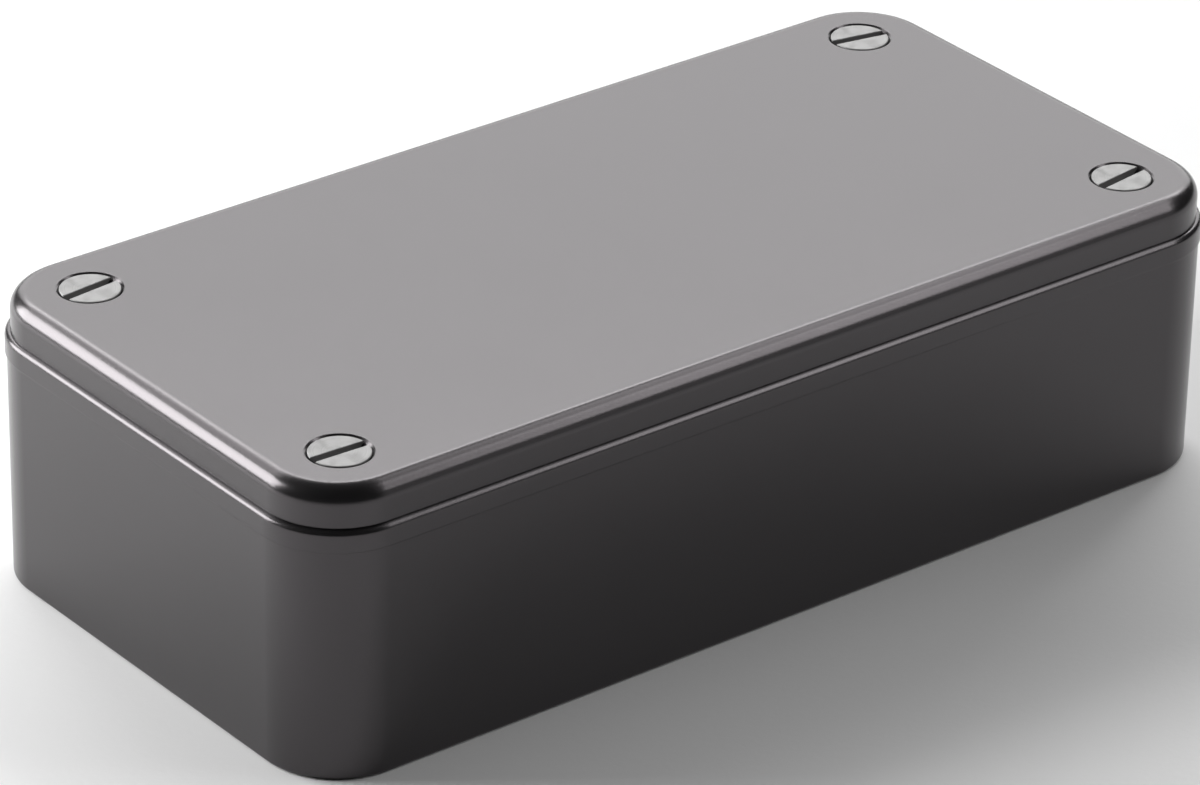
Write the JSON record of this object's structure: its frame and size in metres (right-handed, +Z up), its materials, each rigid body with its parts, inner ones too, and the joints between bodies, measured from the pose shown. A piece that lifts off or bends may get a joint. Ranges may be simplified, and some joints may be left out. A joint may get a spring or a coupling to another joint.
{
  "type": "plastic project box",
  "caption": "Small moulded two-part electronics enclosure: a tray with board slots and corner posts, and a flat lid with rounded edges held by countersunk screws at its corners.",
  "frame": {"origin": "middle of the flat underside, which is also the surface the box stands on", "axes": "+X along the long sides, towards the end that is at the right of the picture; +Y across the box, away from the long side that the picture shows; +Z up through the lid"},
  "size_m": [0.1, 0.05, 0.027],
  "materials": {
    "black_plastic": "fine satin moulded surface with a soft sheen",
    "plated_steel": "bright zinc-plated, turned face with a cut driver slot",
    "insert_brass": "turned, knurled outside"
  },
  "bodies": {
    "tray": {"base_shell": "black_plastic", "threaded_insert_front_left": "insert_brass", "threaded_insert_front_right": "insert_brass", "threaded_insert_rear_left": "insert_brass", "threaded_insert_rear_right": "insert_brass"},
    "cover": {"lid": "black_plastic"},
    "screw_front_left": {"lid_screw_front_left": "plated_steel"},
    "screw_front_right": {"lid_screw_front_right": "plated_steel"},
    "screw_rear_left": {"lid_screw_rear_left": "plated_steel"},
    "screw_rear_right": {"lid_screw_rear_right": "plated_steel"}
  },
  "joints": [
    {"name": "lid_lift", "type": "slide", "parent": "tray", "child": "cover", "axis": [0, 0, 1], "range_m": [0, 0.04]},
    {"name": "screw_turn_front_left", "type": "hinge", "parent": "cover", "child": "screw_front_left", "pos_m": [-0.0425, -0.01785, 0.02697], "axis": [0, 0, 1], "continuous": true},
    {"name": "screw_turn_front_right", "type": "hinge", "parent": "cover", "child": "screw_front_right", "pos_m": [0.0425, -0.01785, 0.02697], "axis": [0, 0, 1], "continuous": true},
    {"name": "screw_turn_rear_left", "type": "hinge", "parent": "cover", "child": "screw_rear_left", "pos_m": [-0.0425, 0.01785, 0.02697], "axis": [0, 0, 1], "continuous": true},
    {"name": "screw_turn_rear_right", "type": "hinge", "parent": "cover", "child": "screw_rear_right", "pos_m": [0.0425, 0.01785, 0.02697], "axis": [0, 0, 1], "continuous": true}
  ]
}
